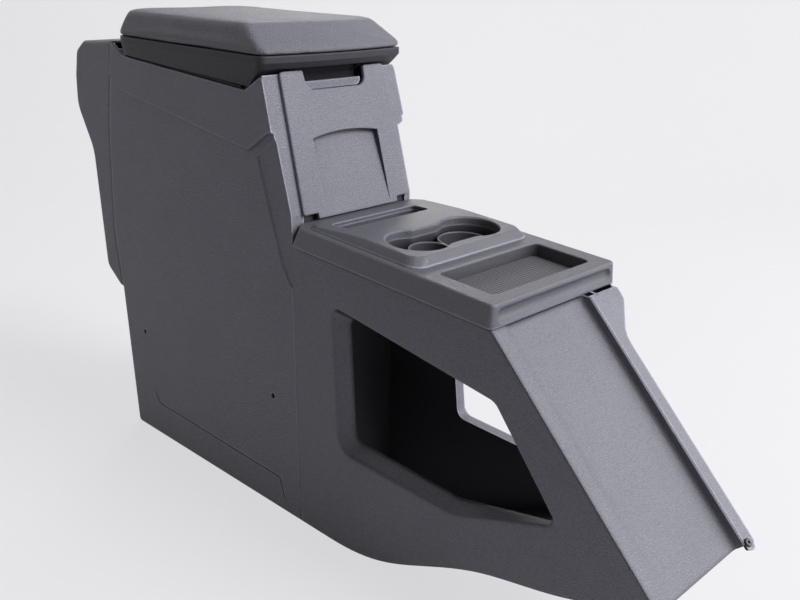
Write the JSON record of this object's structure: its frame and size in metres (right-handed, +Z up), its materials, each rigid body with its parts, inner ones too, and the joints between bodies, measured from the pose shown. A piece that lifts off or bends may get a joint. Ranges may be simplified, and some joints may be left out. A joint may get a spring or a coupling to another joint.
{
  "type": "vehicle centre console",
  "caption": "Floor-standing vehicle centre console with a storage bin under a hinged padded armrest, cup holders, a mat tray and a sloping open-sided front.",
  "frame": {"origin": "middle of the overall footprint, on the floor under the flat base of the bin", "axes": "+Z up, +Y towards the rear cover, -Y towards the sloping front, +X to the right of someone facing the rear"},
  "size_m": [0.225, 1.041, 0.638],
  "materials": {
    "grained_plastic": "fine leather grain, dark grey",
    "inner_plastic": "plain moulded, near black",
    "armrest_leather": "grained leatherette, dark grey",
    "rubber": "ribbed grid, matte",
    "steel": "zinc plated",
    "black_screw": "black coated"
  },
  "bodies": {
    "console": {"left_side_panel": "grained_plastic", "right_side_panel": "grained_plastic", "rear_cover": "grained_plastic", "bin_front_panel": "grained_plastic", "front_shell": "grained_plastic", "right_front_panel": "grained_plastic", "tray_top": "grained_plastic", "cup_bezel": "grained_plastic", "rear_wall": "inner_plastic", "bulkhead": "inner_plastic", "bin_tub": "inner_plastic", "cup_insert": "inner_plastic", "hinge_bracket": "steel", "hinge_pin": "steel", "latch_striker": "steel", "flange_screw": "black_screw", "tray_mat": "rubber", "lid_bumpers": "rubber"},
    "lid": {"lid_shell": "grained_plastic", "lid_board": "inner_plastic", "armrest_pad": "armrest_leather", "hinge_leaf": "steel", "latch_pin": "steel"},
    "latch": {"latch_paddle": "grained_plastic"}
  },
  "joints": [
    {"name": "lid_hinge", "type": "hinge", "parent": "console", "child": "lid", "pos_m": [0, 0.38854, 0.599], "axis": [-1, 0, 0], "range_deg": [0, 85]},
    {"name": "latch_pivot", "type": "hinge", "parent": "lid", "child": "latch", "pos_m": [0, 0.06554, 0.58], "axis": [-1, 0, 0], "range_deg": [0, 20], "stiffness_Nm_per_rad": 0.2, "springref_deg": -8.59}
  ]
}
